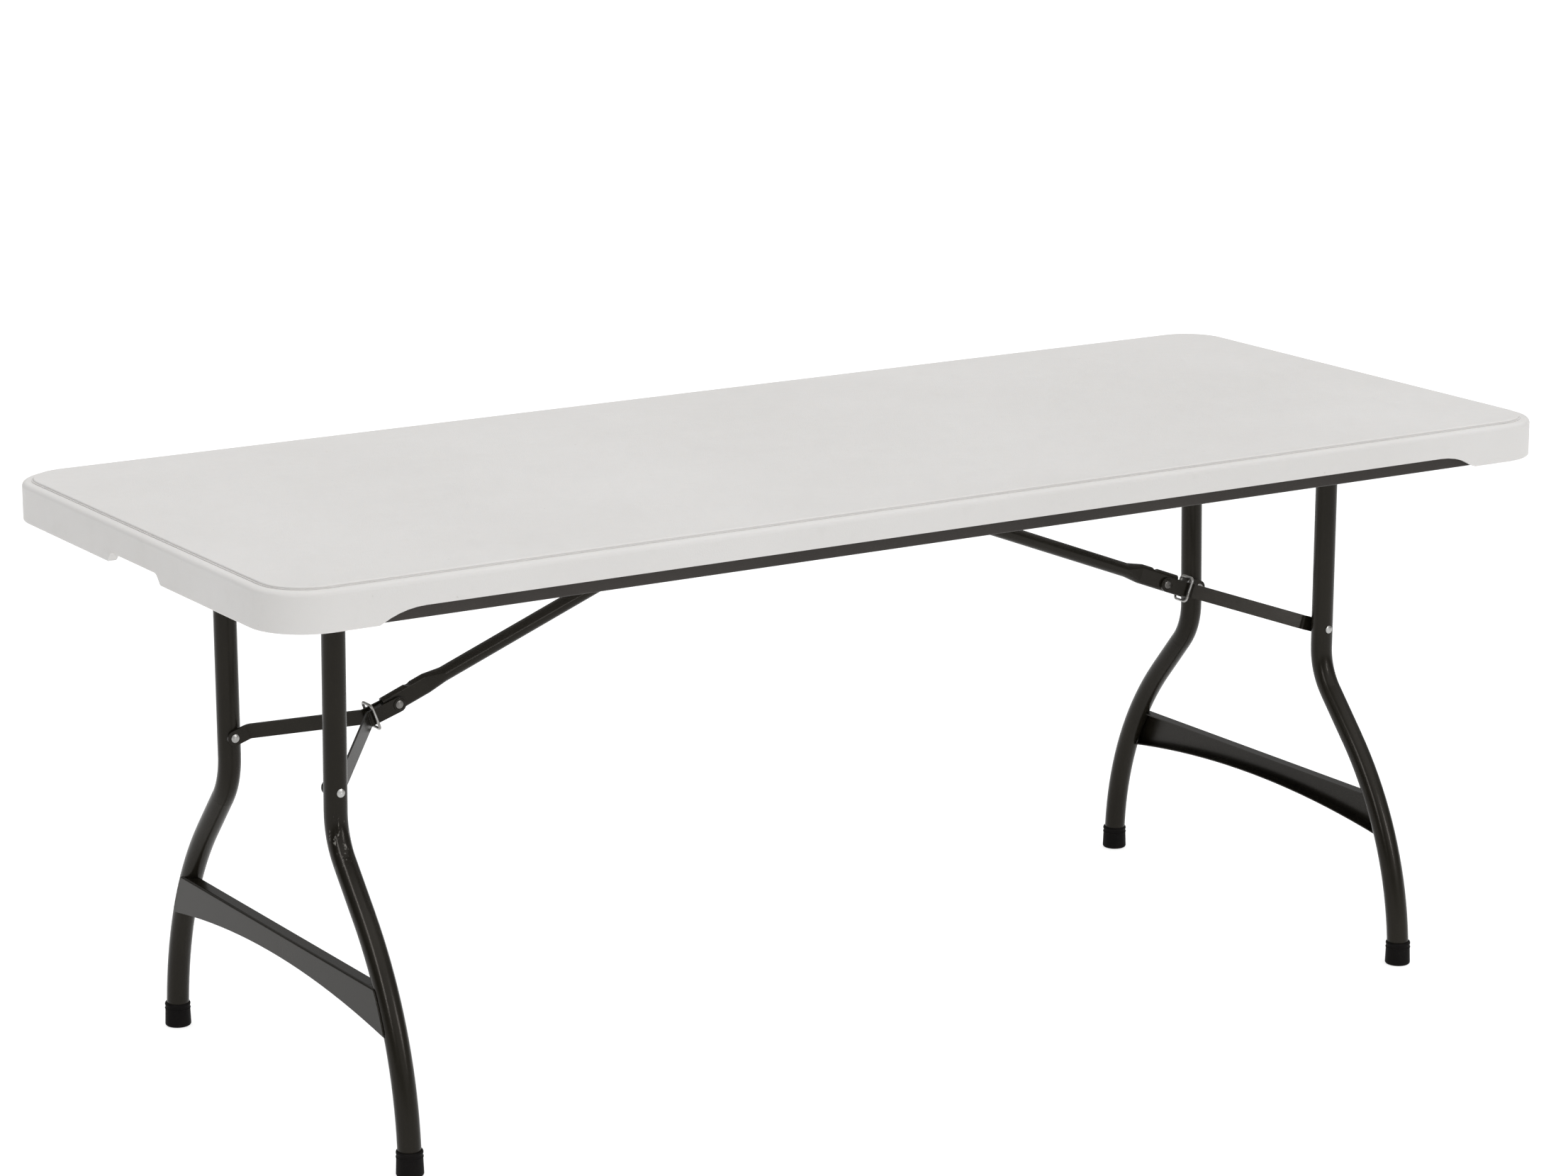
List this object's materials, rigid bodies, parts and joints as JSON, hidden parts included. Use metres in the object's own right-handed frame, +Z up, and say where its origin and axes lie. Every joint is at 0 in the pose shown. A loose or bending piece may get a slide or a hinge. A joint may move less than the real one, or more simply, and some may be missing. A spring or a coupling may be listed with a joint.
{
  "type": "folding table",
  "caption": "Rectangular folding table with a moulded plastic top on folding wishbone steel leg frames, each held by a jointed Y-brace with a sliding lock ring.",
  "frame": {"origin": "centre of the table's footprint on the floor", "axes": "+X along the length to the right-hand leg frame, +Z up, -Y towards the front long side"},
  "size_m": [1.83, 0.76, 0.728],
  "materials": {
    "top_plastic": "off-white blow-moulded polyethylene with a fine leather grain, satin",
    "rail_steel": "dark grey powder coat, satin",
    "frame_steel": "dark grey-brown hammered powder coat",
    "black_plastic": "moulded black polypropylene, satin",
    "zinc_steel": "bright zinc plate"
  },
  "bodies": {
    "top": {"tabletop": "top_plastic", "side_rail_front": "rail_steel", "side_rail_back": "rail_steel", "rail_screws": "zinc_steel", "brace_anchor": "rail_steel", "anchor_screws": "zinc_steel", "brace_pin_left": "zinc_steel", "brace_pin_right": "zinc_steel", "pivot_block_left_front": "black_plastic", "pivot_block_left_back": "black_plastic", "pivot_block_right_front": "black_plastic", "pivot_block_right_back": "black_plastic"},
    "leg_frame_left": {"pivot_tube_left": "frame_steel", "leg_left_front": "frame_steel", "leg_left_back": "frame_steel", "spreader_left": "frame_steel", "foot_cap_left_front": "black_plastic", "foot_cap_left_back": "black_plastic", "leg_rivets_left": "zinc_steel"},
    "brace_left": {"brace_tube_left": "frame_steel", "knee_rivet_left": "zinc_steel"},
    "straps_left": {"strap_left_front": "frame_steel", "strap_left_back": "frame_steel", "strap_rivets_left": "zinc_steel"},
    "lock_ring_body_left": {"lock_ring_left": "zinc_steel"},
    "leg_frame_right": {"pivot_tube_right": "frame_steel", "leg_right_front": "frame_steel", "leg_right_back": "frame_steel", "spreader_right": "frame_steel", "foot_cap_right_front": "black_plastic", "foot_cap_right_back": "black_plastic", "leg_rivets_right": "zinc_steel"},
    "brace_right": {"brace_tube_right": "frame_steel", "knee_rivet_right": "zinc_steel"},
    "straps_right": {"strap_right_front": "frame_steel", "strap_right_back": "frame_steel", "strap_rivets_right": "zinc_steel"},
    "lock_ring_body_right": {"lock_ring_right": "zinc_steel"}
  },
  "joints": [
    {"name": "leg_fold_left", "type": "hinge", "parent": "top", "child": "leg_frame_left", "pos_m": [-0.7216, 0, 0.69], "axis": [0, -1, 0], "range_deg": [0, 88.7]},
    {"name": "brace_swing_left", "type": "hinge", "parent": "top", "child": "brace_left", "pos_m": [-0.018, 0, 0.691], "axis": [0, 1, 0], "range_deg": [0, 18.96]},
    {"name": "strap_turn_left", "type": "hinge", "parent": "brace_left", "child": "straps_left", "pos_m": [-0.57698, 0, 0.47265], "axis": [0, -1, 0], "range_deg": [0, 183.3]},
    {"name": "ring_slide_left", "type": "slide", "parent": "brace_left", "child": "lock_ring_body_left", "axis": [0.9315, 0, 0.3638], "range_m": [0, 0.31]},
    {"name": "leg_fold_right", "type": "hinge", "parent": "top", "child": "leg_frame_right", "pos_m": [0.7216, 0, 0.69], "axis": [0, 1, 0], "range_deg": [0, 88.7]},
    {"name": "brace_swing_right", "type": "hinge", "parent": "top", "child": "brace_right", "pos_m": [0.018, 0, 0.691], "axis": [0, -1, 0], "range_deg": [0, 18.96]},
    {"name": "strap_turn_right", "type": "hinge", "parent": "brace_right", "child": "straps_right", "pos_m": [0.57698, 0, 0.47265], "axis": [0, 1, 0], "range_deg": [0, 183.3]},
    {"name": "ring_slide_right", "type": "slide", "parent": "brace_right", "child": "lock_ring_body_right", "axis": [-0.9315, 0, 0.3638], "range_m": [0, 0.31]}
  ],
  "couplings": [
    {"joint": "brace_swing_left", "follows": "leg_fold_left", "ratio": 0.21322},
    {"joint": "strap_turn_left", "follows": "leg_fold_left", "ratio": 2.0659},
    {"joint": "ring_slide_left", "follows": "leg_fold_left", "m_per_rad": 0.20024},
    {"joint": "brace_swing_right", "follows": "leg_fold_right", "ratio": 0.21322},
    {"joint": "strap_turn_right", "follows": "leg_fold_right", "ratio": 2.0659},
    {"joint": "ring_slide_right", "follows": "leg_fold_right", "m_per_rad": 0.20024}
  ]
}
